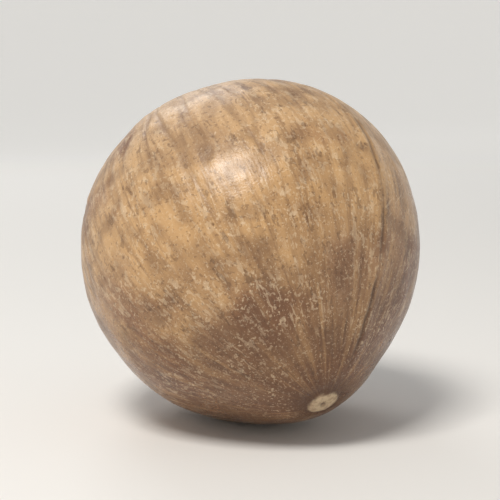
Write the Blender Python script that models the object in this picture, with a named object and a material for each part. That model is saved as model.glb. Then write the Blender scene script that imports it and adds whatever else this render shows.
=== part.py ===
"""A macadamia nut in its shell, lying on the small flat spot it rests on.

Metres, +Z up. The origin is the middle of the flat spot.

The nut is shaped in a frame of its own, where +Z is its axis. The axis runs from the
hilum, the wide scar where the nut grew on its husk, to the micropyle, the pale dot at the
bluntly pointed end. A place on the shell is given by two angles: the angle from the
micropyle, here called polar, and the turn round the axis, which is 0 along the suture.
"""

import math

import bmesh
import bpy
from mathutils import Matrix, Vector, noise

NAME = "nut_in_shell"
MM = 0.001

# The body of the shell, a ball whose flank runs straight to a blunt point.
EQUATOR_RADIUS = 12.5 * MM
FLANK_START = math.radians(43)  # where the flank leaves the ball, as an angle from the point
FLANK_EASE = math.radians(12)  # how gently it leaves it
TIP_BLUNTNESS = math.radians(19)  # how widely the point is rounded off
OVAL = 0.30 * MM  # the body is a little wider one way than the other
OVAL_TURN = math.radians(12)  # that way, as a turn round the axis
THREE_SIDED = 0.20 * MM  # and it bulges a little on three sides
THREE_SIDED_TURN = math.radians(-18)
UNEVENNESS = 0.11 * MM
UNEVEN_SPACING = 5.5 * MM

# The micropyle, a low button at the pointed end.
BUTTON_RADIUS = 1.25 * MM
BUTTON_HEIGHT = 0.22 * MM

# The suture, a low ridge from the micropyle most of the way to the hilum.
SUTURE_HEIGHT = 0.15 * MM
SUTURE_HALF_WIDTH = 0.8 * MM
SUTURE_START = math.radians(8)
SUTURE_END = math.radians(122)
SUTURE_FADE = math.radians(35)

# The hilum, a shallow dish with an uneven rim and a knob where the stalk's veins entered.
HILUM_RADIUS = 5.6 * MM
HILUM_DEPTH = 0.30 * MM
DISH_FLOOR = 0.55  # how much of the dish is level, as a share of its radius
LOBES = ((3, 0.08, 1.0), (5, 0.05, 2.0))  # how many, how far they reach out, and where
RIM_HEIGHT = 0.12 * MM
RIM_PLACE = 1.08  # as a share of the hilum's radius
RIM_HALF_WIDTH = 0.16
KNOB_RADIUS = 1.4 * MM
KNOB_HEIGHT = 0.26 * MM

# The prints of the husk's veins, which leave the hilum's rim and fade towards the belly.
VEIN_HEIGHT = 0.11 * MM
VEINS_ABREAST = 3.4  # noise cells over one radian round the axis
VEIN_LENGTH = 1.1  # radians along the shell
VEINS_START = (0.3, 1.1)  # where they rise to full height, in radii of the hilum
VEINS_END = math.radians(95)  # measured from the hilum
VEINS_FADE = 0.45  # the share of that way that they keep their height

# How the nut lies: where its pointed end and the middle of its suture look.
TIP_LOOKS = Vector((0.36, -0.66, -0.66)).normalized()
SUTURE_LOOKS = Vector((0.62, -0.42, 0.66)).normalized()
FLAT_RADIUS = 2.6 * MM

# The mesh: columns run from pole to pole, and rings lie closer together near the poles.
COLUMNS = 96
RINGS = 52
POLE_CROWDING = 0.4

SHELL_COLOUR = (0.33, 0.205, 0.115, 1.0)
SHELL_ROUGHNESS = 0.42


def clear_scene():
    for obj in list(bpy.data.objects):
        bpy.data.objects.remove(obj)


def eased(low, high, value):
    """0 below low, 1 above high, and a smooth step in between."""
    share = min(1.0, max(0.0, (value - low) / (high - low)))
    return share * share * (3 - 2 * share)


def mound(distance, half_width):
    """A smooth bump, 1 at its middle."""
    return math.exp(-((distance / half_width) ** 2))


def pointed_ball(polar):
    """The reach of a ball whose flank runs straight, as a cone's does, to a blunt point."""
    flank_left = FLANK_START - math.hypot(polar, TIP_BLUNTNESS)
    off_ball = (flank_left + math.hypot(flank_left, FLANK_EASE)) / 2
    return EQUATOR_RADIUS / math.cos(off_ball)


def body(polar, turn):
    """The pointed body, slightly out of round."""
    belly = math.sin(polar) ** 2
    return (
        pointed_ball(polar)
        + OVAL * belly * math.cos(2 * (turn - OVAL_TURN))
        + THREE_SIDED * belly * math.cos(3 * (turn - THREE_SIDED_TURN))
    )


def suture(polar, turn):
    """The ridge along turn 0, which fades out towards the hilum."""
    off_line = EQUATOR_RADIUS * math.sin(polar) * 2 * math.sin(turn / 2)
    starts = eased(SUTURE_START, 2.5 * SUTURE_START, polar)
    ends = 1 - eased(SUTURE_END - SUTURE_FADE, SUTURE_END, polar)
    return SUTURE_HEIGHT * mound(off_line, SUTURE_HALF_WIDTH) * starts * ends


def hilum(from_hilum, turn):
    """The dish, its rim and its knob. Its outline wanders, so its rim isn't a circle."""
    outline = 1 + sum(reach * math.cos(count * turn + start) for count, reach, start in LOBES)
    edge = HILUM_RADIUS / EQUATOR_RADIUS * outline
    dish = -HILUM_DEPTH * (1 - eased(DISH_FLOOR * edge, edge, from_hilum))
    rim = RIM_HEIGHT * mound(from_hilum - RIM_PLACE * edge, RIM_HALF_WIDTH * edge)
    knob = KNOB_HEIGHT * mound(from_hilum, KNOB_RADIUS / EQUATOR_RADIUS)
    return dish + rim + knob


def vein_prints(from_hilum, turn):
    """Uneven low ribs that run with the axis, strongest at the hilum's rim."""
    low, high = (share * HILUM_RADIUS / EQUATOR_RADIUS for share in VEINS_START)
    fades = eased(low, high, from_hilum)
    fades *= 1 - eased(VEINS_FADE * VEINS_END, VEINS_END, from_hilum)
    along = from_hilum / VEIN_LENGTH
    place = Vector((math.cos(turn), math.sin(turn), 0)) * VEINS_ABREAST
    return VEIN_HEIGHT * fades * noise.noise(place + Vector((0, 0, along)))


def surface_point(polar, turn):
    """The point of the shell in that direction, in the nut's own frame."""
    sideways = math.sin(polar)
    direction = Vector(
        (sideways * math.cos(turn), sideways * math.sin(turn), math.cos(polar))
    )
    from_hilum = math.pi - polar
    distance = body(polar, turn)
    distance += BUTTON_HEIGHT * mound(polar * EQUATOR_RADIUS, BUTTON_RADIUS)
    distance += suture(polar, turn)
    distance += hilum(from_hilum, turn)
    distance += vein_prints(from_hilum, turn)
    distance += UNEVENNESS * noise.noise(direction * (EQUATOR_RADIUS / UNEVEN_SPACING))
    return direction * distance


def lying_pose():
    """Turns the nut's own frame so that its tip and its suture look where they should."""
    across = (SUTURE_LOOKS - SUTURE_LOOKS.project(TIP_LOOKS)).normalized()
    return Matrix((across, TIP_LOOKS.cross(across), TIP_LOOKS)).transposed().to_4x4()


def shape_shell(mesh):
    """Moves each vertex of a unit sphere out to the shell's surface."""
    for vertex in mesh.verts:
        even = math.acos(max(-1.0, min(1.0, vertex.co.z)))
        polar = even - POLE_CROWDING / 2 * math.sin(2 * even)
        turn = math.atan2(vertex.co.y, vertex.co.x)
        vertex.co = surface_point(polar, turn)


def cut_flat_spot(mesh):
    """Takes a thin slice off the bottom, and moves the flat's middle to the origin."""
    lowest = min(vertex.co.z for vertex in mesh.verts)
    slice_depth = FLAT_RADIUS**2 / (2 * EQUATOR_RADIUS)
    cut = bmesh.ops.bisect_plane(
        mesh,
        geom=mesh.verts[:] + mesh.edges[:] + mesh.faces[:],
        dist=1e-7,
        plane_co=(0, 0, lowest + slice_depth),
        plane_no=(0, 0, -1),
        clear_outer=True,
    )
    edges = [item for item in cut["geom_cut"] if isinstance(item, bmesh.types.BMEdge)]
    flat = bmesh.ops.contextual_create(mesh, geom=edges)["faces"][0]
    bmesh.ops.translate(mesh, verts=mesh.verts, vec=-flat.calc_center_median_weighted())


def shell_material():
    material = bpy.data.materials.new("tan_shell")
    material.use_nodes = True
    shader = material.node_tree.nodes["Principled BSDF"]
    shader.inputs["Base Color"].default_value = SHELL_COLOUR
    shader.inputs["Roughness"].default_value = SHELL_ROUGHNESS
    shader.inputs["Metallic"].default_value = 0.0
    return material


def build_nut():
    mesh = bmesh.new()
    bmesh.ops.create_uvsphere(mesh, u_segments=COLUMNS, v_segments=RINGS, radius=1.0)
    shape_shell(mesh)
    bmesh.ops.transform(mesh, matrix=lying_pose(), verts=mesh.verts)
    cut_flat_spot(mesh)
    bmesh.ops.recalc_face_normals(mesh, faces=mesh.faces)

    data = bpy.data.meshes.new(NAME)
    mesh.to_mesh(data)
    mesh.free()
    data.shade_smooth()
    data.materials.append(shell_material())

    nut = bpy.data.objects.new(NAME, data)
    collection = bpy.data.collections.new("macadamia_nut")
    bpy.context.scene.collection.children.link(collection)
    collection.objects.link(nut)
    return nut


clear_scene()
build_nut()
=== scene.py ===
"""A macadamia nut in its shell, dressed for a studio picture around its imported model.

Metres, +Z up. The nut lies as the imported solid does, on its small flat spot at the origin.
The shell is shaped in a frame of its own, where +Z is its axis: from the hilum, the wide
scar where the nut grew on its husk, to the micropyle, the pale dot at the bluntly pointed
end. A place on it is given by two angles: polar, the angle from the micropyle, and turn,
which goes round the axis and is 0 along the suture.
"""

import math

import bmesh
import bpy
from mathutils import Matrix, Vector, noise


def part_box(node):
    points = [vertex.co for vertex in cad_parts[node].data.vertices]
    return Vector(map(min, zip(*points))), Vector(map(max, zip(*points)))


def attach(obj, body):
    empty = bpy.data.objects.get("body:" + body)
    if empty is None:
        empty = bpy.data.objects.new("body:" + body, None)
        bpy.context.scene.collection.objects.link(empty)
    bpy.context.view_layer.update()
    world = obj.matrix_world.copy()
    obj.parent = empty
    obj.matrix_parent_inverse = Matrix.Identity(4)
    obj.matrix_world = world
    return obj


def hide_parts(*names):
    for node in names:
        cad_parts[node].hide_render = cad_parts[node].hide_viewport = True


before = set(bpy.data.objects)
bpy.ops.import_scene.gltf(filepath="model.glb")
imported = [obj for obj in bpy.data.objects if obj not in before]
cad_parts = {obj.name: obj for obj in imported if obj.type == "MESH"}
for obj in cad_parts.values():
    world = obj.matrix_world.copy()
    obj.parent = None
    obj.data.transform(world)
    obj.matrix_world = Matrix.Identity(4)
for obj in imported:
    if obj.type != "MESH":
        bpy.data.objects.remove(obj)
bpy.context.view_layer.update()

MM = 0.001
nut_low, nut_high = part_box("nut_in_shell")
nut_middle = (nut_low + nut_high) / 2

# The camera
# It stands where the photograph was taken from: in front of the nut and a little above
# level. Its long lens keeps the round nut free of distortion.

CAMERA_RISE = math.radians(8)
LENS_MM = 95.0
SENSOR_MM = 36.0
NUT_SHARE = 0.68  # of the picture's height
NEAREST_SEEN = 1 * MM
FURTHEST_SEEN = 5.0

picture_height = (nut_high.z - nut_low.z) / NUT_SHARE
camera_back = Vector((0, -math.cos(CAMERA_RISE), math.sin(CAMERA_RISE)))
camera_data = bpy.data.cameras.new("camera")
camera_data.lens = LENS_MM
camera_data.sensor_width = SENSOR_MM
camera_data.clip_start = NEAREST_SEEN
camera_data.clip_end = FURTHEST_SEEN
camera = bpy.data.objects.new("camera", camera_data)
camera.location = nut_middle + camera_back * (picture_height * LENS_MM / SENSOR_MM)
camera.rotation_euler = (-camera_back).to_track_quat("-Z", "Y").to_euler()
bpy.context.scene.collection.objects.link(camera)
bpy.context.scene.camera = camera

# The shell's body
# One hard woody ball that grew closed round the kernel. Its flank runs straight to a blunt
# point, and it is slightly out of round, as it filled its husk.

EQUATOR_RADIUS = 12.5 * MM
FLANK_START = math.radians(43)  # where the flank leaves the ball, as an angle from the point
FLANK_EASE = math.radians(12)  # how gently it leaves it
TIP_BLUNTNESS = math.radians(19)  # how widely the point is rounded off
OVAL = 0.30 * MM  # the body is a little wider one way than the other
OVAL_TURN = math.radians(12)  # that way, as a turn round the axis
THREE_SIDED = 0.20 * MM  # and it bulges a little on three sides
THREE_SIDED_TURN = math.radians(-18)
UNEVENNESS = 0.11 * MM
UNEVEN_SPACING = 5.5 * MM
PEBBLE_DEPTH = 0.07 * MM
PEBBLE_SPACING = 1.5 * MM
GRAIN_DEPTH = 0.022 * MM
GRAIN_SPACING = 0.6 * MM
INSET = 0.02 * MM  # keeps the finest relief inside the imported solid's box


def eased(low, high, value):
    """0 below low, 1 above high, and a smooth step in between."""
    share = min(1.0, max(0.0, (value - low) / (high - low)))
    return share * share * (3 - 2 * share)


def mound(distance, half_width):
    """A smooth bump, 1 at its middle."""
    return math.exp(-((distance / half_width) ** 2))


def cloud(direction, spacing):
    """Noise over the shell, from 0 to 1, with cells of that size."""
    return 0.5 + 0.5 * noise.noise(direction * (EQUATOR_RADIUS / spacing))


def pointed_ball(polar):
    """The reach of a ball whose flank runs straight, as a cone's does, to a blunt point."""
    flank_left = FLANK_START - math.hypot(polar, TIP_BLUNTNESS)
    off_ball = (flank_left + math.hypot(flank_left, FLANK_EASE)) / 2
    return EQUATOR_RADIUS / math.cos(off_ball)


def body(direction, polar, turn):
    """The pointed body, out of round and gently pebbled."""
    belly = math.sin(polar) ** 2
    uneven = 2 * cloud(direction, UNEVEN_SPACING) - 1
    return (
        pointed_ball(polar)
        - INSET
        + OVAL * belly * math.cos(2 * (turn - OVAL_TURN))
        + THREE_SIDED * belly * math.cos(3 * (turn - THREE_SIDED_TURN))
        + UNEVENNESS * uneven
        - PEBBLE_DEPTH * cloud(direction, PEBBLE_SPACING)
        - GRAIN_DEPTH * cloud(direction, GRAIN_SPACING)
    )


# The micropyle
# The pale, corky button at the pointed end, with a ring round it and a pin hole in its
# middle, where the root would break out.

BUTTON_RADIUS = 1.25 * MM
BUTTON_HEIGHT = 0.22 * MM
RING_RADIUS = 1.25 * MM
RING_DEPTH = 0.10 * MM
RING_HALF_WIDTH = 0.25 * MM
PIN_HOLE_RADIUS = 0.2 * MM
PIN_HOLE_DEPTH = 0.2 * MM


def micropyle(from_tip):
    """The height of the button, its ring and its pin hole."""
    button = BUTTON_HEIGHT * mound(from_tip, BUTTON_RADIUS)
    ring = RING_DEPTH * mound(from_tip - RING_RADIUS, RING_HALF_WIDTH)
    hole = PIN_HOLE_DEPTH * mound(from_tip, PIN_HOLE_RADIUS)
    return button - ring - hole


# The suture
# The line along which the shell's two edges met as it grew: a low ridge that leaves the
# micropyle, with a hairline groove along its crest, and fades out before the hilum.

SUTURE_HEIGHT = 0.15 * MM
SUTURE_HALF_WIDTH = 0.8 * MM
SUTURE_START = math.radians(8)
SUTURE_RISEN = 2.5 * SUTURE_START
SUTURE_END = math.radians(122)
SUTURE_FADE = math.radians(35)
HAIRLINE_DEPTH = 0.08 * MM
HAIRLINE_HALF_WIDTH = 0.14 * MM
HAIRLINE_WANDER = 0.16 * MM
BENDS_A_RADIAN = 7
BREAKS_A_RADIAN = 4.5
BENDS_ROW = 3.1  # the rows of the noise that set its bends and its breaks
BREAKS_ROW = 8.2
BREAKS_NOISE = (-0.35, 0.15)  # where the hairline starts to open, and where it is open
SHUT_SHARE = 0.25  # how much of the hairline is left where it has grown shut


def suture(polar, turn):
    """The height of the ridge, and how far into the hairline a place is, from 0 to 1."""
    off_line = EQUATOR_RADIUS * math.sin(polar) * 2 * math.sin(turn / 2)
    starts = eased(SUTURE_START, SUTURE_RISEN, polar)
    ends = 1 - eased(SUTURE_END - SUTURE_FADE, SUTURE_END, polar)
    ridge = SUTURE_HEIGHT * mound(off_line, SUTURE_HALF_WIDTH) * starts * ends
    bends = noise.noise(Vector((polar * BENDS_A_RADIAN, BENDS_ROW, 0)))
    breaks = noise.noise(Vector((polar * BREAKS_A_RADIAN, BREAKS_ROW, 0)))
    hairline = mound(off_line - HAIRLINE_WANDER * bends, HAIRLINE_HALF_WIDTH) * starts * ends
    hairline *= SHUT_SHARE + (1 - SHUT_SHARE) * eased(*BREAKS_NOISE, breaks)
    return ridge, hairline


# The hilum
# The dull scar at the broad end, where the husk held the nut. It is a shallow dish of torn
# fibre ends with an uneven rim, and a knob where the veins of the stalk went in.

HILUM_RADIUS = 5.6 * MM
HILUM_DEPTH = 0.30 * MM
DISH_FLOOR = 0.55  # how much of the dish is level, as a share of its radius
LOBES = ((3, 0.08, 1.0), (5, 0.05, 2.0))  # how many, how far they reach out, and where
RIM_HEIGHT = 0.12 * MM
RIM_PLACE = 1.08  # in radii of the hilum, as are the next four
RIM_HALF_WIDTH = 0.16
SCAR_FADE = (0.85, 1.15)  # where the scar starts to end, and where it has ended
FINGERS_REACH = 0.30  # how far the scar's edge runs out between the fibres
CRUMBLED_REACH = 0.12  # and how far it has crumbled away
CRUMBLED_SPACING = 0.8 * MM
FINGERS_ROW = 0.7  # the row of the noise that sets the fingers
KNOB_RADIUS = 1.4 * MM
KNOB_HEIGHT = 0.26 * MM
TORN_DEPTH = 0.15 * MM
TORN_NOISE = (0.30, 0.72)
RAYS_SHARE = 0.42  # of that noise
CRUMBS_SHARE = 0.38
FINE_CRUMBS_SHARE = 0.20
RAYS_ABREAST = 9.0  # fibre ends side by side over one radian round the axis
RAY_LENGTH = 0.16  # radians along the shell
CRUMB_SPACING = 0.36 * MM
HILUM_EDGE = HILUM_RADIUS / EQUATOR_RADIUS


def around(turn, abreast, along):
    """A place for noise that is drawn out along the shell's axis and has no seam."""
    return Vector((math.cos(turn) * abreast, math.sin(turn) * abreast, along))


def hilum(from_hilum, turn, direction):
    """The height of the dish, and how much a place belongs to the scar, from 0 to 1."""
    outline = 1 + sum(reach * math.cos(count * turn + start) for count, reach, start in LOBES)
    edge = HILUM_EDGE * outline
    dish = -HILUM_DEPTH * (1 - eased(DISH_FLOOR * edge, edge, from_hilum))
    rim = RIM_HEIGHT * mound(from_hilum - RIM_PLACE * edge, RIM_HALF_WIDTH * edge)
    knob = KNOB_HEIGHT * mound(from_hilum, KNOB_RADIUS / EQUATOR_RADIUS)
    fingers = FINGERS_REACH * edge * noise.noise(around(turn, RAYS_ABREAST, FINGERS_ROW))
    crumbled = noise.noise(direction * (EQUATOR_RADIUS / CRUMBLED_SPACING))
    crumbled *= CRUMBLED_REACH * edge
    low, high = (share * edge for share in SCAR_FADE)
    scar = 1 - eased(low, high, from_hilum + fingers + crumbled)
    return dish + rim + knob, scar


def torn(direction, turn, from_hilum):
    """How deep the scar is torn out between its fibre ends, from 0 to 1."""
    rays = 0.5 + 0.5 * noise.noise(around(turn, RAYS_ABREAST, from_hilum / RAY_LENGTH))
    crumbs = cloud(direction, CRUMB_SPACING)
    finer = cloud(direction, 0.5 * CRUMB_SPACING)
    together = RAYS_SHARE * rays + CRUMBS_SHARE * crumbs + FINE_CRUMBS_SHARE * finer
    return eased(*TORN_NOISE, together)


# The prints of the husk's veins
# Low ribs and branching furrows that the husk's veins pressed into the shell. They leave
# the hilum's rim and fade over the belly.

VEIN_HEIGHT = 0.11 * MM
VEINS_ABREAST = 3.4  # noise cells over one radian round the axis
VEIN_LENGTH = 1.1  # radians along the shell
VEINS_START = (0.3, 1.1)  # where they rise to full height, in radii of the hilum
VEINS_END = math.radians(95)  # measured from the hilum
VEINS_FADE = 0.45  # the share of that way that they keep their height
FURROW_DEPTH = 0.06 * MM
FURROWS_ABREAST = 6.5
FURROW_LENGTH = 0.75
FURROW_WIDTH = 0.16  # in noise
FURROWS_FADE = (0.7, 1.35)  # the shares of the veins' way between which furrows end
FORK_STRENGTH = 0.25  # how much a finer noise makes the furrows fork
FORK_FINENESS = 2.3


def vein_prints(from_hilum, turn):
    """The height of the ribs, and how far into a furrow a place is, from 0 to 1."""
    low, high = (share * HILUM_EDGE for share in VEINS_START)
    fades = eased(low, high, from_hilum)
    fades *= 1 - eased(VEINS_FADE * VEINS_END, VEINS_END, from_hilum)
    ribs = noise.noise(around(turn, VEINS_ABREAST, from_hilum / VEIN_LENGTH))
    place = around(turn, FURROWS_ABREAST, from_hilum / FURROW_LENGTH)
    branching = noise.noise(place) + FORK_STRENGTH * noise.noise(FORK_FINENESS * place)
    low, high = (share * VEINS_END for share in FURROWS_FADE)
    furrow = 1 - eased(0, FURROW_WIDTH, abs(branching))
    furrow *= 1 - eased(low, high, from_hilum)
    return VEIN_HEIGHT * fades * ribs, furrow


# The pores
# Small pits in the shell's outer layer of wood cells, all over the nut. They are widest
# near the hilum, and there are none at the micropyle.

PORE_SPACING = 1.1 * MM
PORE_RADIUS = 0.27 * MM
PORE_DEPTH = 0.06 * MM
PORE_FLOOR = 0.35  # how much of a pore is level, as a share of its radius
PORE_DRAWS = 31.7  # spreads the cells' middles, so that each draws a size of its own
PORELESS_DRAW = -0.35  # a cell that draws less, from -1 to 1, has no pore
PORES_NARROW = 0.45  # how much narrower they are far from the hilum
PORES_NARROWING = (0.9, 2.4)  # radians from the hilum
PORES_START = (0.12, 0.2)  # radians from the micropyle
LEAST_SLOPE = 1e-4  # gives the wall of a pore of no size a width too


def pore(direction, from_hilum):
    """How far into a pore a place is, from 0 to 1. Two in three cells hold one."""
    distances, middles = noise.voronoi(direction * (EQUATOR_RADIUS / PORE_SPACING))
    draw = noise.cell(middles[0] * PORE_DRAWS)
    size = PORE_RADIUS / PORE_SPACING * eased(PORELESS_DRAW, 1.0, draw)
    size *= 1 - PORES_NARROW * eased(*PORES_NARROWING, from_hilum)
    return 1 - eased(PORE_FLOOR * size, size + LEAST_SLOPE, distances[0])


# The shell's mesh
# Faces of about 0.15 mm, smaller near both ends, where the finest relief is. Each vertex
# carries the marks that its colour follows.

CUTS = 125
POLE_CROWDING = 0.4
TIP_LOOKS = Vector((0.36, -0.66, -0.66)).normalized()
SUTURE_LOOKS = Vector((0.62, -0.42, 0.66)).normalized()
MARKS = ("scar", "torn", "furrow", "pore", "hairline", "hollow")
HOLLOW_NOISE = (0.42, 0.72)  # where a hollow between the pebbles starts, and its middle


def even_ball(cuts):
    """A ball of nearly square faces, made from a finely cut cube."""
    mesh = bmesh.new()
    bmesh.ops.create_cube(mesh, size=2.0)
    bmesh.ops.subdivide_edges(mesh, edges=mesh.edges[:], cuts=cuts, use_grid_fill=True)
    for vertex in mesh.verts:
        spread = Vector(math.tan(value * math.pi / 4) for value in vertex.co)
        vertex.co = spread.normalized()
    return mesh


def shape_shell(mesh):
    """Moves each vertex of a unit ball out to the shell, and writes its marks."""
    layers = mesh.verts.layers
    growth = layers.float_vector.new("growth")
    marks = {name: layers.float.new(name) for name in MARKS}
    for vertex in mesh.verts:
        even = math.acos(max(-1.0, min(1.0, vertex.co.z)))
        polar = even - POLE_CROWDING / 2 * math.sin(2 * even)
        turn = math.atan2(vertex.co.y, vertex.co.x)
        flat = Vector((math.cos(turn), math.sin(turn), 0))
        direction = flat * math.sin(polar) + Vector((0, 0, math.cos(polar)))
        from_hilum = math.pi - polar

        ridge, hairline = suture(polar, turn)
        dish, scar = hilum(from_hilum, turn, direction)
        depth = scar * torn(direction, turn, from_hilum)
        ribs, furrow = vein_prints(from_hilum, turn)
        pit = pore(direction, from_hilum) * (1 - scar) * eased(*PORES_START, polar)
        distance = body(direction, polar, turn) + micropyle(polar * EQUATOR_RADIUS)
        distance += ridge + dish + ribs
        distance -= HAIRLINE_DEPTH * hairline
        distance -= FURROW_DEPTH * furrow
        distance -= TORN_DEPTH * depth
        distance -= PORE_DEPTH * pit

        vertex.co = direction * distance
        vertex[growth] = (flat + Vector((0, 0, polar))) * EQUATOR_RADIUS
        hollow = eased(*HOLLOW_NOISE, cloud(direction, PEBBLE_SPACING))
        for name, value in zip(MARKS, (scar, depth, furrow, pit, hairline, hollow)):
            vertex[marks[name]] = value


def lying_pose():
    """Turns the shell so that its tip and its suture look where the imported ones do."""
    across = (SUTURE_LOOKS - SUTURE_LOOKS.project(TIP_LOOKS)).normalized()
    return Matrix((across, TIP_LOOKS.cross(across), TIP_LOOKS)).transposed().to_4x4()


def settle_in_box(mesh):
    """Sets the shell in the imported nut's box, and presses its underside flat at z = 0."""
    columns = list(zip(*(vertex.co for vertex in mesh.verts)))
    low = Vector(min(column) for column in columns)
    high = Vector(max(column) for column in columns)
    move = nut_middle - (low + high) / 2
    move.z = nut_high.z - high.z
    bmesh.ops.translate(mesh, verts=mesh.verts, vec=move)
    for vertex in mesh.verts:
        vertex.co.z = max(0.0, vertex.co.z)


shell_mesh = even_ball(CUTS)
shape_shell(shell_mesh)
bmesh.ops.transform(shell_mesh, matrix=lying_pose(), verts=shell_mesh.verts)
settle_in_box(shell_mesh)
bmesh.ops.recalc_face_normals(shell_mesh, faces=shell_mesh.faces)
shell_data = bpy.data.meshes.new("macadamia_shell")
shell_mesh.to_mesh(shell_data)
shell_mesh.free()
shell_data.shade_smooth()
shell = bpy.data.objects.new("macadamia_shell", shell_data)
bpy.context.scene.collection.objects.link(shell)
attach(shell, "root")
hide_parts("nut_in_shell")

# The shell's finish
# Bare polished wood cells: golden tan, clouded with red-brown, flecked with pale and dark
# dashes that run along the axis. Smooth and dark at the tip, dull and pale at the hilum.
# Golden towards the key lamp, browner away from it and up the lower flank: painted light and
# shade.


class Wire:
    """A socket of a material. Arithmetic on it adds Math nodes, and node() any other."""

    def __init__(self, tree, socket=None):
        self.tree = tree
        self.socket = socket

    def node(self, kind, settings, inputs, output=0):
        """Adds a node with its settings, fills its sockets, and gives one of its outputs."""
        made = self.tree.nodes.new(kind)
        for name, value in settings.items():
            setattr(made, name, value)
        for name, value in inputs.items():
            if isinstance(value, Wire):
                self.tree.links.new(value.socket, made.inputs[name])
            else:
                made.inputs[name].default_value = value
        return Wire(self.tree, made.outputs[output])

    def maths(self, operation, first, second):
        return self.node("ShaderNodeMath", {"operation": operation}, {0: first, 1: second})

    def __add__(self, other):
        return self.maths("ADD", self, other)

    def __sub__(self, other):
        return self.maths("SUBTRACT", self, other)

    def __rsub__(self, other):
        return self.maths("SUBTRACT", other, self)

    def __mul__(self, other):
        return self.maths("MULTIPLY", self, other)

    __radd__ = __add__
    __rmul__ = __mul__


SPECK_DETAIL = 2.0  # how ragged the edges of the specks are
SPECK_RAGGEDNESS = 0.6


def paint(red, green, blue):
    """A colour for a socket, from its values on a screen, 0 to 255."""
    screen = [value / 255 for value in (red, green, blue)]
    return (*(((value + 0.055) / 1.055) ** 2.4 for value in screen), 1.0)


def step_between(value, low, high):
    """0 at low, 1 at high, and a smooth step in between. High may be the smaller."""
    ends = {"Value": value, "From Min": low, "From Max": high}
    return value.node("ShaderNodeMapRange", {"interpolation_type": "SMOOTHSTEP"}, ends)


def clouds(place, size, detail=2.0):
    """Soft noise round 0.5 with clouds of that size."""
    inputs = {"Vector": place, "Scale": 1 / size, "Detail": detail}
    return place.node("ShaderNodeTexNoise", {}, inputs)


def ragged(place, size, reach, detail=5.0):
    """Soft noise round 0, for pushing an edge about by up to half that reach."""
    return (clouds(place, size, detail) - 0.5) * reach


def drawn_out(place, share):
    """The same place for longer patterns: its last direction counts for that share."""
    return place.node("ShaderNodeMapping", {}, {"Vector": place, "Scale": (1.0, 1.0, share)})


def specks(place, size, least, edge=0.05):
    """Ragged specks, 1 inside one. The noise has to be over least, so more leaves fewer."""
    inputs = {
        "Vector": place,
        "Scale": 1 / size,
        "Detail": SPECK_DETAIL,
        "Roughness": SPECK_RAGGEDNESS,
    }
    return step_between(place.node("ShaderNodeTexNoise", {}, inputs), least, least + edge)


def laid_over(under, over, share):
    """One colour laid over another, with the share of it that shows."""
    return share.node("ShaderNodeMix", {"data_type": "RGBA"}, {0: share, 6: under, 7: over}, 2)


TAN = paint(178, 141, 107)
GOLDEN = paint(197, 157, 110)
RED_BROWN = paint(130, 88, 62)
DEEP_BROWN = paint(98, 69, 51)
# the tip's own dark brown, which also stands as painted shade up the lower flank
TIP_BROWN_AND_SHADE = paint(110, 75, 52)
DULL_BEIGE = paint(188, 161, 131)

# For each colour: the size of its clouds or streaks, the noise at which it starts and at
# which it is full, and how strongly it shows there.
KEY_LAMP_SIDE_LOOKS = Vector((-0.25, -0.50, 0.83)).normalized()  # the side towards the key lamp, painted golden as painted light
GOLDEN_CLOUDS = 8 * MM
GOLDEN_NOISE = (0.42, 0.62)
GOLDEN_BY_PAINTED_LIGHT = 0.24  # painted light: what the side towards the key lamp adds to the noise
DULL_SHARE = 0.6  # of the dull beige at the broad end
BROWN_CLOUDS = 6.5 * MM
BROWN_NOISE = (0.42, 0.58)
BROWN_BY_PAINTED_SHADE = 0.20  # painted shade: what the side towards the key lamp takes from the noise
BROWN_SHARE = 0.8
DEEP_CLOUDS = 2.4 * MM
DEEP_NOISE = (0.52, 0.66)
DEEP_SHARE = 0.34
# The tip's own dark brown reaches 18 mm up the lower flank, where it is also painted shade.
TIP_CLOUDS = 3 * MM
TIP_WANDER = 18 * MM
TIP_FADE = (18 * MM, 4 * MM)  # from the tip
TIP_AND_SHADE_SHARE = 0.80
BAND_WIDTH = 1.0 * MM
BAND_STRETCH = 0.16
GOLDEN_BANDS_NOISE = (0.50, 0.34)
GOLDEN_BANDS_SHARE = 0.32
DARK_BANDS_NOISE = (0.52, 0.68)
DARK_BANDS_SHARE = 0.30
STREAK_WIDTH = 0.4 * MM
STREAK_STRETCH = 0.10
STREAK_NOISE = (0.48, 0.74)
STREAK_SHARE = 0.42


def painted_light_side(place):
    """How far a place lies towards the key lamp, from -1 to 1, for painted light and shade."""
    settings = {"operation": "SUBTRACT"}
    offset = place.node("ShaderNodeVectorMath", settings, {0: place, 1: nut_middle})
    inputs = {0: offset, 1: KEY_LAMP_SIDE_LOOKS / EQUATOR_RADIUS}
    return place.node("ShaderNodeVectorMath", {"operation": "DOT_PRODUCT"}, inputs, "Value")


def clouded_wood(place, from_tip, toward_hilum):
    """Broad colours: golden and brown clouds with painted light and shade, a dark tip and a
    dull broad end.
    """
    # Painted light and shade: the side towards the key lamp is pushed golden, the side away
    # from it brown.
    painted_light = painted_light_side(place)
    golden = step_between(clouds(place, GOLDEN_CLOUDS) + painted_light * GOLDEN_BY_PAINTED_LIGHT, *GOLDEN_NOISE)
    colour = laid_over(TAN, GOLDEN, golden)
    colour = laid_over(colour, DULL_BEIGE, toward_hilum * DULL_SHARE)
    brown = clouds(place, BROWN_CLOUDS, detail=6.0) - painted_light * BROWN_BY_PAINTED_SHADE
    colour = laid_over(colour, RED_BROWN, step_between(brown, *BROWN_NOISE) * BROWN_SHARE)
    deep = step_between(clouds(place, DEEP_CLOUDS, detail=6.0), *DEEP_NOISE)
    colour = laid_over(colour, DEEP_BROWN, deep * DEEP_SHARE)
    # Dark brown at the tip, and up the lower flank as painted shade.
    tip = step_between(from_tip + ragged(place, TIP_CLOUDS, TIP_WANDER), *TIP_FADE)
    return laid_over(colour, TIP_BROWN_AND_SHADE, tip * TIP_AND_SHADE_SHARE)


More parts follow.
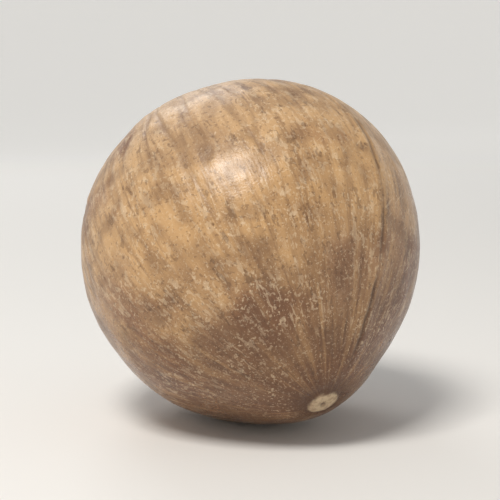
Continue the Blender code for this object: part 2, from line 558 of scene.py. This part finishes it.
def streaked(colour, growth):
    """The bands and fine streaks that run along the axis, as the wood's cells do."""
    bands = clouds(drawn_out(growth, BAND_STRETCH), BAND_WIDTH, detail=4.0)
    golden = step_between(bands, *GOLDEN_BANDS_NOISE)
    colour = laid_over(colour, GOLDEN, golden * GOLDEN_BANDS_SHARE)
    dark = step_between(bands, *DARK_BANDS_NOISE)
    colour = laid_over(colour, DEEP_BROWN, dark * DARK_BANDS_SHARE)
    streaks = clouds(drawn_out(growth, STREAK_STRETCH), STREAK_WIDTH, detail=3.0)
    return laid_over(colour, DEEP_BROWN, step_between(streaks, *STREAK_NOISE) * STREAK_SHARE)


PALE_FLECK = paint(220, 195, 162)
DARK_FLECK = paint(74, 51, 38)
FLECK_STRETCH = 0.5
CROWD_CLOUDS = 3.4 * MM  # the pale flecks crowd together in clouds
CROWD_NOISE = (0.38, 0.60)
LEAST_CROWD = 0.2
DASHES_START = (2 * MM, 8 * MM)  # from the tip
DASH_SHARE = 0.38
DASH_MORE = 0.16  # how much more the dashes show at the broad end
CHIP_SHARE = 0.40
PALE_GRAIN_SHARE = 0.35
DARK_GRAIN_SHARE = 0.36
DARK_DASH_SHARE = 0.36
SCUFF_TURNS = ((0.5, 0.3, 0.9), (1.2, -0.4, 2.2))
SCUFF_STRETCH = 0.03


def flecked(colour, place, growth, from_tip, toward_hilum):
    """The flecks: pale dashes, closest at the broad end, then fine pale and dark grain."""
    along = drawn_out(growth, FLECK_STRETCH)
    crowd = step_between(clouds(place, CROWD_CLOUDS, detail=4.0), *CROWD_NOISE)
    crowd = crowd * (1 - LEAST_CROWD) + LEAST_CROWD
    dashes = specks(along, size=0.46 * MM, least=0.56)
    dashes = dashes * step_between(from_tip, *DASHES_START)
    dash_share = toward_hilum * DASH_MORE + DASH_SHARE
    colour = laid_over(colour, PALE_FLECK, dashes * crowd * dash_share)
    chips = specks(place, size=0.34 * MM, least=0.59)
    colour = laid_over(colour, PALE_FLECK, chips * crowd * CHIP_SHARE)
    pale_grain = specks(place, size=0.17 * MM, least=0.61)
    colour = laid_over(colour, PALE_FLECK, pale_grain * PALE_GRAIN_SHARE)
    dark_grain = specks(place, size=0.26 * MM, least=0.60)
    colour = laid_over(colour, DARK_FLECK, dark_grain * DARK_GRAIN_SHARE)
    dark_dashes = specks(along, size=0.75 * MM, least=0.64, edge=0.03)
    return laid_over(colour, DARK_FLECK, dark_dashes * DARK_DASH_SHARE)


def scuffs(place):
    """Hair-thin scratches from husking, in two directions."""
    found = []
    for rotation in SCUFF_TURNS:
        turned = place.node("ShaderNodeMapping", {}, {"Vector": place, "Rotation": rotation})
        drawn = drawn_out(turned, SCUFF_STRETCH)
        found.append(specks(drawn, size=0.16 * MM, least=0.66, edge=0.03))
    return found[0] + found[1]


SCAR_BEIGE = paint(188, 159, 126)
SCAR_BROWN = paint(84, 61, 46)
PATCH_CLOUDS = 1.6 * MM
PATCH_NOISE = (0.40, 0.62)
TORN_SHADE = 0.9
SCAR_SHARE = 0.95
WORN_EDGE_SHADE = 0.4
KNOB_RING_OUTSIDE = (2.0 * MM, 1.3 * MM)  # from the hilum's middle
KNOB_RING_INSIDE = (0.5 * MM, 1.0 * MM)
KNOB_RING_SHADE = 0.6


def scar_colour(colour, place, from_tip, marks):
    """Pale fibre ends over dark hollows, with a worn edge and a dark ring at the knob."""
    patchy = step_between(clouds(place, PATCH_CLOUDS, detail=4.0), *PATCH_NOISE)
    scar = laid_over(SCAR_BEIGE, TAN, patchy)
    scar = laid_over(scar, SCAR_BROWN, marks["torn"] * TORN_SHADE)
    colour = laid_over(colour, scar, marks["scar"] * SCAR_SHARE)
    worn_edge = marks["scar"] * (1.0 - marks["scar"]) * 4.0  # 1 halfway into the scar
    colour = laid_over(colour, DEEP_BROWN, worn_edge * WORN_EDGE_SHADE)
    from_hilum = math.pi * EQUATOR_RADIUS - from_tip
    ring = step_between(from_hilum, *KNOB_RING_OUTSIDE)
    ring = ring * step_between(from_hilum, *KNOB_RING_INSIDE)
    return laid_over(colour, SCAR_BROWN, ring * KNOB_RING_SHADE)


CORK = paint(208, 184, 150)
CORK_EDGE = paint(84, 57, 41)
PIN_HOLE = paint(70, 47, 34)
UNEVEN_EDGE = 0.7 * MM  # how far the button's colours wander, and over what distance
RING_FADE = (2.8 * MM, 1.1 * MM)  # from the tip, as are the next two
RING_SHARE = 0.7
CORK_FADE = (1.12 * MM, 0.82 * MM)
CORK_SHARE = 0.9
PIN_HOLE_FADE = (0.34 * MM, 0.10 * MM)
PIN_HOLE_SHARE = 0.85
MEAL_CLOUDS = 0.3 * MM
MEAL_NOISE = (0.42, 0.62)
MEAL_SHARE = 0.4


def micropyle_colour(colour, place, from_tip):
    """The dark ring, the cork button inside it, and the pin hole in its middle."""
    out = from_tip + ragged(place, UNEVEN_EDGE, UNEVEN_EDGE)
    colour = laid_over(colour, CORK_EDGE, step_between(out, *RING_FADE) * RING_SHARE)
    meal = step_between(clouds(place, MEAL_CLOUDS, detail=4.0), *MEAL_NOISE)
    cork = laid_over(CORK, RED_BROWN, meal * MEAL_SHARE)
    colour = laid_over(colour, cork, step_between(out, *CORK_FADE) * CORK_SHARE)
    return laid_over(colour, PIN_HOLE, step_between(out, *PIN_HOLE_FADE) * PIN_HOLE_SHARE)


BROAD_END = (14 * MM, 30 * MM)  # from the tip, where the shell gets paler
HOLLOW_DIRT_AND_SHADE = 0.28
SCUFF_SHARE = 0.35
PORE_SHADE = 0.6
FURROW_SHADE = 0.35
HAIRLINE_SHADE = 0.7


def shell_colour(place, growth, from_tip, marks):
    """All of the shell's colours, with those of its furrows, pores and scar on top."""
    toward_hilum = step_between(from_tip, *BROAD_END)
    colour = clouded_wood(place, from_tip, toward_hilum)
    colour = streaked(colour, growth)
    colour = flecked(colour, place, growth, from_tip, toward_hilum)
    # The hollows between the pebbles are painted darker, as dirt and as painted shade.
    colour = laid_over(colour, DEEP_BROWN, marks["hollow"] * HOLLOW_DIRT_AND_SHADE)
    colour = laid_over(colour, PALE_FLECK, scuffs(place) * SCUFF_SHARE)
    colour = laid_over(colour, DARK_FLECK, marks["pore"] * PORE_SHADE)
    colour = laid_over(colour, DEEP_BROWN, marks["furrow"] * FURROW_SHADE)
    colour = laid_over(colour, DARK_FLECK, marks["hairline"] * HAIRLINE_SHADE)
    colour = scar_colour(colour, place, from_tip, marks)
    return micropyle_colour(colour, place, from_tip)


SMOOTHEST = 0.27
DULLING = (12 * MM, 30 * MM)  # from the tip
DULLER_BY = 0.16
RUBBED_CLOUDS = 3.5 * MM
RUBBED_BY = 0.4
SCAR_ROUGHER_BY = 0.3
HOLLOW_ROUGHER_BY = 0.08


def shell_roughness(place, from_tip, marks):
    """Polished at the tip, duller at the broad end and in hollows, and rough in the scar."""
    rough = step_between(from_tip, *DULLING) * DULLER_BY + SMOOTHEST
    rough = rough + ragged(place, RUBBED_CLOUDS, RUBBED_BY, detail=3.0)
    rough = rough + marks["scar"] * SCAR_ROUGHER_BY
    return rough + marks["hollow"] * HOLLOW_ROUGHER_BY


FIBRE_WIDTH = 0.22 * MM
FIBRE_STRETCH = 0.2
DUST_SIZE = 0.16 * MM
DUST_SHARE = 0.7
FINEST_RELIEF = 0.03 * MM  # how high the two stand together


def finest_relief(place, growth):
    """The wood's fibres and dust, which are too fine for the mesh."""
    fibres = clouds(drawn_out(growth, FIBRE_STRETCH), FIBRE_WIDTH, detail=3.0)
    height = fibres + clouds(place, DUST_SIZE) * DUST_SHARE
    inputs = {"Height": height, "Distance": FINEST_RELIEF, "Strength": 1.0}
    return height.node("ShaderNodeBump", {}, inputs)


REFLECTION = 0.3
POLISH_WEIGHT = 0.15  # the smooth skin that the outermost cells make
POLISH_ROUGHNESS = 0.24

shell_material = bpy.data.materials.new("macadamia_shell")
shell_material.use_nodes = True
shell_tree = shell_material.node_tree
shell_shader = shell_tree.nodes["Principled BSDF"]
start = Wire(shell_tree)
place = start.node("ShaderNodeTexCoord", {}, {}, "Object")
growth = start.node("ShaderNodeAttribute", {"attribute_name": "growth"}, {}, "Vector")
from_tip = growth.node("ShaderNodeSeparateXYZ", {}, {0: growth}, "Z")
marks = {
    name: start.node("ShaderNodeAttribute", {"attribute_name": name}, {}, "Fac")
    for name in MARKS
}
for socket, wire in (
    ("Base Color", shell_colour(place, growth, from_tip, marks)),
    ("Roughness", shell_roughness(place, from_tip, marks)),
    ("Normal", finest_relief(place, growth)),
):
    shell_tree.links.new(wire.socket, shell_shader.inputs[socket])
shell_shader.inputs["Specular IOR Level"].default_value = REFLECTION
shell_shader.inputs["Coat Weight"].default_value = POLISH_WEIGHT
shell_shader.inputs["Coat Roughness"].default_value = POLISH_ROUGHNESS
shell_data.materials.append(shell_material)

# The studio
# A pale round table whose edge sweeps up like a bowl, so that no horizon shows behind the
# nut from any side, under three soft lamps and a pale sky.
# The table's own material glows, more the further it is from the nut: painted light.

TABLE_RADIUS = 0.45
SWEEP_RADIUS = 0.35
SWEEP_STEPS = 16
TABLE_SIDES = 96
SAME_PLACE = 1e-6  # vertices this close are merged
TABLE_COLOUR = paint(232, 230, 226)
TABLE_ROUGHNESS = 0.7
BLACK = (0.0, 0.0, 0.0, 1.0)
GLOW_START = 0.04  # painted light: the table's material glows, more with its distance from the nut
GLOW_END = 0.42
GLOW_STRENGTH = 0.40

sweep = bmesh.new()
profile = [sweep.verts.new((0, 0, 0)), sweep.verts.new((TABLE_RADIUS, 0, 0))]
for step in range(1, SWEEP_STEPS + 1):
    angle = math.pi / 2 * step / SWEEP_STEPS
    out = TABLE_RADIUS + SWEEP_RADIUS * math.sin(angle)
    profile.append(sweep.verts.new((out, 0, SWEEP_RADIUS * (1 - math.cos(angle)))))
edges = [sweep.edges.new(pair) for pair in zip(profile, profile[1:])]
bmesh.ops.spin(
    sweep,
    geom=profile + edges,
    cent=(0, 0, 0),
    axis=(0, 0, 1),
    angle=math.tau,
    steps=TABLE_SIDES,
    use_merge=True,
)
bmesh.ops.remove_doubles(sweep, verts=sweep.verts, dist=SAME_PLACE)
bmesh.ops.recalc_face_normals(sweep, faces=sweep.faces)
table_data = bpy.data.meshes.new("pale_table")
sweep.to_mesh(table_data)
sweep.free()
table_data.shade_smooth()
pale_table = bpy.data.objects.new("pale_table", table_data)
bpy.context.scene.collection.objects.link(pale_table)

table_material = bpy.data.materials.new("pale_table")
table_material.use_nodes = True
table_shader = table_material.node_tree.nodes["Principled BSDF"]
table_shader.inputs["Base Color"].default_value = TABLE_COLOUR
table_shader.inputs["Roughness"].default_value = TABLE_ROUGHNESS
table_place = Wire(table_material.node_tree).node("ShaderNodeTexCoord", {}, {}, "Object")
table_reach = table_place.node(
    "ShaderNodeVectorMath", {"operation": "LENGTH"}, {0: table_place}, "Value"
)
# Painted light: the table glows, more the further it lies from the nut.
glow = step_between(table_reach, GLOW_START, GLOW_END)
glow_colour = laid_over(BLACK, TABLE_COLOUR, glow)
table_material.node_tree.links.new(glow_colour.socket, table_shader.inputs["Emission Color"])
table_shader.inputs["Emission Strength"].default_value = GLOW_STRENGTH
table_data.materials.append(table_material)

# The lamps: their names, places, widths, watts and colours.
LAMPS = (
    ("key_lamp", (-0.08, -0.14, 0.28), 0.10, 0.78, (1.0, 0.97, 0.93)),
    ("side_lamp", (0.24, -0.06, 0.16), 0.14, 0.02, (1.0, 0.98, 0.95)),
    ("back_lamp", (-0.08, 0.21, 0.20), 0.12, 0.14, (1.0, 1.0, 1.0)),
)
SKY_COLOUR = (0.95, 0.97, 1.0, 1.0)
SKY_STRENGTH = 0.30

for name, lamp_place, width, watts, colour in LAMPS:
    lamp_data = bpy.data.lights.new(name, "AREA")
    lamp_data.size = width
    lamp_data.energy = watts
    lamp_data.color = colour
    lamp = bpy.data.objects.new(name, lamp_data)
    lamp.location = lamp_place
    from_nut = Vector(lamp_place) - nut_middle
    lamp.rotation_euler = from_nut.to_track_quat("Z", "Y").to_euler()
    bpy.context.scene.collection.objects.link(lamp)

sky = bpy.data.worlds.new("pale_sky")
sky.use_nodes = True
background = sky.node_tree.nodes["Background"]
background.inputs["Color"].default_value = SKY_COLOUR
background.inputs["Strength"].default_value = SKY_STRENGTH
bpy.context.scene.world = sky
bpy.context.scene.view_settings.view_transform = "Standard"
